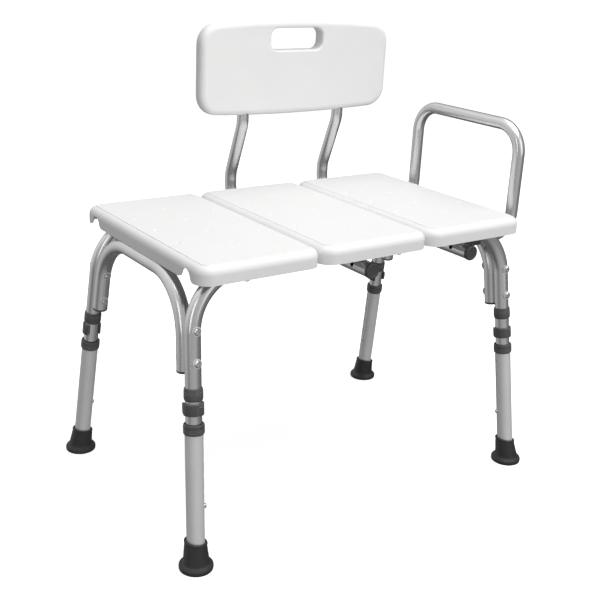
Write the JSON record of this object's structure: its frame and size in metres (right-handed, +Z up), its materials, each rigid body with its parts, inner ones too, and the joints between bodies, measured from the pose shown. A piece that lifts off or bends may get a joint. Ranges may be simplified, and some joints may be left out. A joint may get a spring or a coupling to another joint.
{
  "type": "bath transfer bench",
  "caption": "Bath transfer bench: panelled seat on arched tube legs with telescoping feet, a plug-in curved backrest with hand hole, and a plug-in side armrest.",
  "frame": {"origin": "floor level, under the centre of the bench frame and seat", "axes": "+X towards the armrest end, -Y towards the front edge of the seat (the sitter's knees), +Z up"},
  "size_m": [0.7481, 0.5066, 0.787],
  "materials": {
    "white_plastic": "fine moulded texture, satin",
    "frame_tube": "satin anodised",
    "leg_tube": "satin anodised",
    "grey_plastic": "moulded",
    "dark_plastic": "moulded",
    "foot_rubber": "moulded rubber",
    "light_nylon": "moulded",
    "zinc_steel": "zinc plated",
    "button_steel": "polished",
    "spring_steel": "plain"
  },
  "bodies": {
    "frame": {"seat_panel_left": "white_plastic", "seat_panel_middle": "white_plastic", "seat_panel_right": "white_plastic", "front_frame_arch": "frame_tube", "rear_frame_arch": "frame_tube", "left_end_brace": "frame_tube", "right_end_brace": "frame_tube", "cross_tube_left": "frame_tube", "cross_tube_right": "frame_tube", "cross_tube_plugs": "dark_plastic", "brace_end_plugs": "dark_plastic", "brace_bolts": "zinc_steel", "brace_saddle_washers": "light_nylon", "brace_nuts": "zinc_steel", "cross_tube_saddles": "dark_plastic", "cross_tube_screws": "zinc_steel", "armrest_sockets": "dark_plastic", "seat_screws": "zinc_steel", "seat_saddle_washers": "zinc_steel", "upper_collars": "grey_plastic", "leg_spring_front_left": "spring_steel", "leg_spring_front_right": "spring_steel", "leg_spring_back_left": "spring_steel", "leg_spring_back_right": "spring_steel"},
    "leg_front_left": {"leg_extension_front_left": "leg_tube", "rubber_foot_front_left": "foot_rubber", "lower_collar_front_left": "grey_plastic"},
    "clip_front_left": {"leg_clip_front_left": "grey_plastic"},
    "button_front_left": {"leg_button_front_left": "button_steel"},
    "leg_front_right": {"leg_extension_front_right": "leg_tube", "rubber_foot_front_right": "foot_rubber", "lower_collar_front_right": "grey_plastic"},
    "clip_front_right": {"leg_clip_front_right": "grey_plastic"},
    "button_front_right": {"leg_button_front_right": "button_steel"},
    "leg_back_left": {"leg_extension_back_left": "leg_tube", "rubber_foot_back_left": "foot_rubber", "lower_collar_back_left": "grey_plastic"},
    "clip_back_left": {"leg_clip_back_left": "grey_plastic"},
    "button_back_left": {"leg_button_back_left": "button_steel"},
    "leg_back_right": {"leg_extension_back_right": "leg_tube", "rubber_foot_back_right": "foot_rubber", "lower_collar_back_right": "grey_plastic"},
    "clip_back_right": {"leg_clip_back_right": "grey_plastic"},
    "button_back_right": {"leg_button_back_right": "button_steel"},
    "backrest": {"backrest_panel": "white_plastic", "backrest_post_left": "frame_tube", "backrest_post_right": "frame_tube", "backrest_screws": "zinc_steel", "backrest_spring_left": "spring_steel", "backrest_spring_right": "spring_steel"},
    "armrest": {"armrest_tube": "frame_tube", "armrest_spring_front": "spring_steel", "armrest_spring_rear": "spring_steel"},
    "backrest_button_left": {"backrest_button_left": "button_steel"},
    "backrest_button_right": {"backrest_button_right": "button_steel"},
    "armrest_button_front": {"armrest_button_front": "button_steel"},
    "armrest_button_rear": {"armrest_button_rear": "button_steel"}
  },
  "joints": [
    {"name": "leg_front_left_slide", "type": "slide", "parent": "frame", "child": "leg_front_left", "axis": [-0.0485, -0.1404, -0.9889], "range_m": [0, 0.1016], "deforming": ["leg_button_front_left"]},
    {"name": "clip_front_left_slide", "type": "slide", "parent": "frame", "child": "clip_front_left", "axis": [-0.0485, -0.1404, -0.9889], "range_m": [-0.0035, 0.0105]},
    {"name": "button_front_left_press", "type": "slide", "parent": "frame", "child": "button_front_left", "axis": [-0.9072, 0.4205, -0.0153], "range_m": [0, 0.0046], "stiffness_N_per_m": 1500, "springref_m": -0.001, "deforming": ["leg_spring_front_left"]},
    {"name": "leg_front_right_slide", "type": "slide", "parent": "frame", "child": "leg_front_right", "axis": [0.0485, -0.1404, -0.9889], "range_m": [0, 0.1016], "deforming": ["leg_button_front_right"]},
    {"name": "clip_front_right_slide", "type": "slide", "parent": "frame", "child": "clip_front_right", "axis": [0.0485, -0.1404, -0.9889], "range_m": [-0.0175, 0.0105]},
    {"name": "button_front_right_press", "type": "slide", "parent": "frame", "child": "button_front_right", "axis": [0.9061, -0.4103, 0.1027], "range_m": [0, 0.0046], "stiffness_N_per_m": 1500, "springref_m": -0.001, "deforming": ["leg_spring_front_right"]},
    {"name": "leg_back_left_slide", "type": "slide", "parent": "frame", "child": "leg_back_left", "axis": [-0.0485, 0.1404, -0.9889], "range_m": [0, 0.1016], "deforming": ["leg_button_back_left"]},
    {"name": "clip_back_left_slide", "type": "slide", "parent": "frame", "child": "clip_back_left", "axis": [-0.0485, 0.1404, -0.9889], "range_m": [-0.0035, 0.0105]},
    {"name": "button_back_left_press", "type": "slide", "parent": "frame", "child": "button_back_left", "axis": [-0.9988, -0.0068, 0.048], "range_m": [0, 0.0046], "stiffness_N_per_m": 1500, "springref_m": -0.001, "deforming": ["leg_spring_back_left"]},
    {"name": "leg_back_right_slide", "type": "slide", "parent": "frame", "child": "leg_back_right", "axis": [0.0485, 0.1404, -0.9889], "range_m": [0, 0.1016], "deforming": ["leg_button_back_right"]},
    {"name": "clip_back_right_slide", "type": "slide", "parent": "frame", "child": "clip_back_right", "axis": [0.0485, 0.1404, -0.9889], "range_m": [-0.0035, 0.0105]},
    {"name": "button_back_right_press", "type": "slide", "parent": "frame", "child": "button_back_right", "axis": [0.9988, -0.0068, 0.048], "range_m": [0, 0.0046], "stiffness_N_per_m": 1500, "springref_m": -0.001, "deforming": ["leg_spring_back_right"]},
    {"name": "backrest_slide", "type": "slide", "parent": "frame", "child": "backrest", "axis": [0, 1, 0], "range_m": [0, 0.16], "deforming": ["backrest_button_left", "backrest_button_right"]},
    {"name": "armrest_slide", "type": "slide", "parent": "frame", "child": "armrest", "axis": [1, 0, 0], "range_m": [0, 0.14], "deforming": ["armrest_button_front", "armrest_button_rear"]},
    {"name": "backrest_button_left_press", "type": "slide", "parent": "backrest", "child": "backrest_button_left", "axis": [0.9848, 0, -0.1736], "range_m": [0, 0.0046], "stiffness_N_per_m": 1500, "springref_m": -0.001, "deforming": ["backrest_spring_left"]},
    {"name": "backrest_button_right_press", "type": "slide", "parent": "backrest", "child": "backrest_button_right", "axis": [0.9848, 0, -0.1736], "range_m": [0, 0.0046], "stiffness_N_per_m": 1500, "springref_m": -0.001, "deforming": ["backrest_spring_right"]},
    {"name": "armrest_button_front_press", "type": "slide", "parent": "armrest", "child": "armrest_button_front", "axis": [0, 0, 1], "range_m": [0, 0.0055], "stiffness_N_per_m": 1500, "springref_m": -0.001, "deforming": ["armrest_spring_front"]},
    {"name": "armrest_button_rear_press", "type": "slide", "parent": "armrest", "child": "armrest_button_rear", "axis": [0, 0, 1], "range_m": [0, 0.0055], "stiffness_N_per_m": 1500, "springref_m": -0.001, "deforming": ["armrest_spring_rear"]}
  ]
}
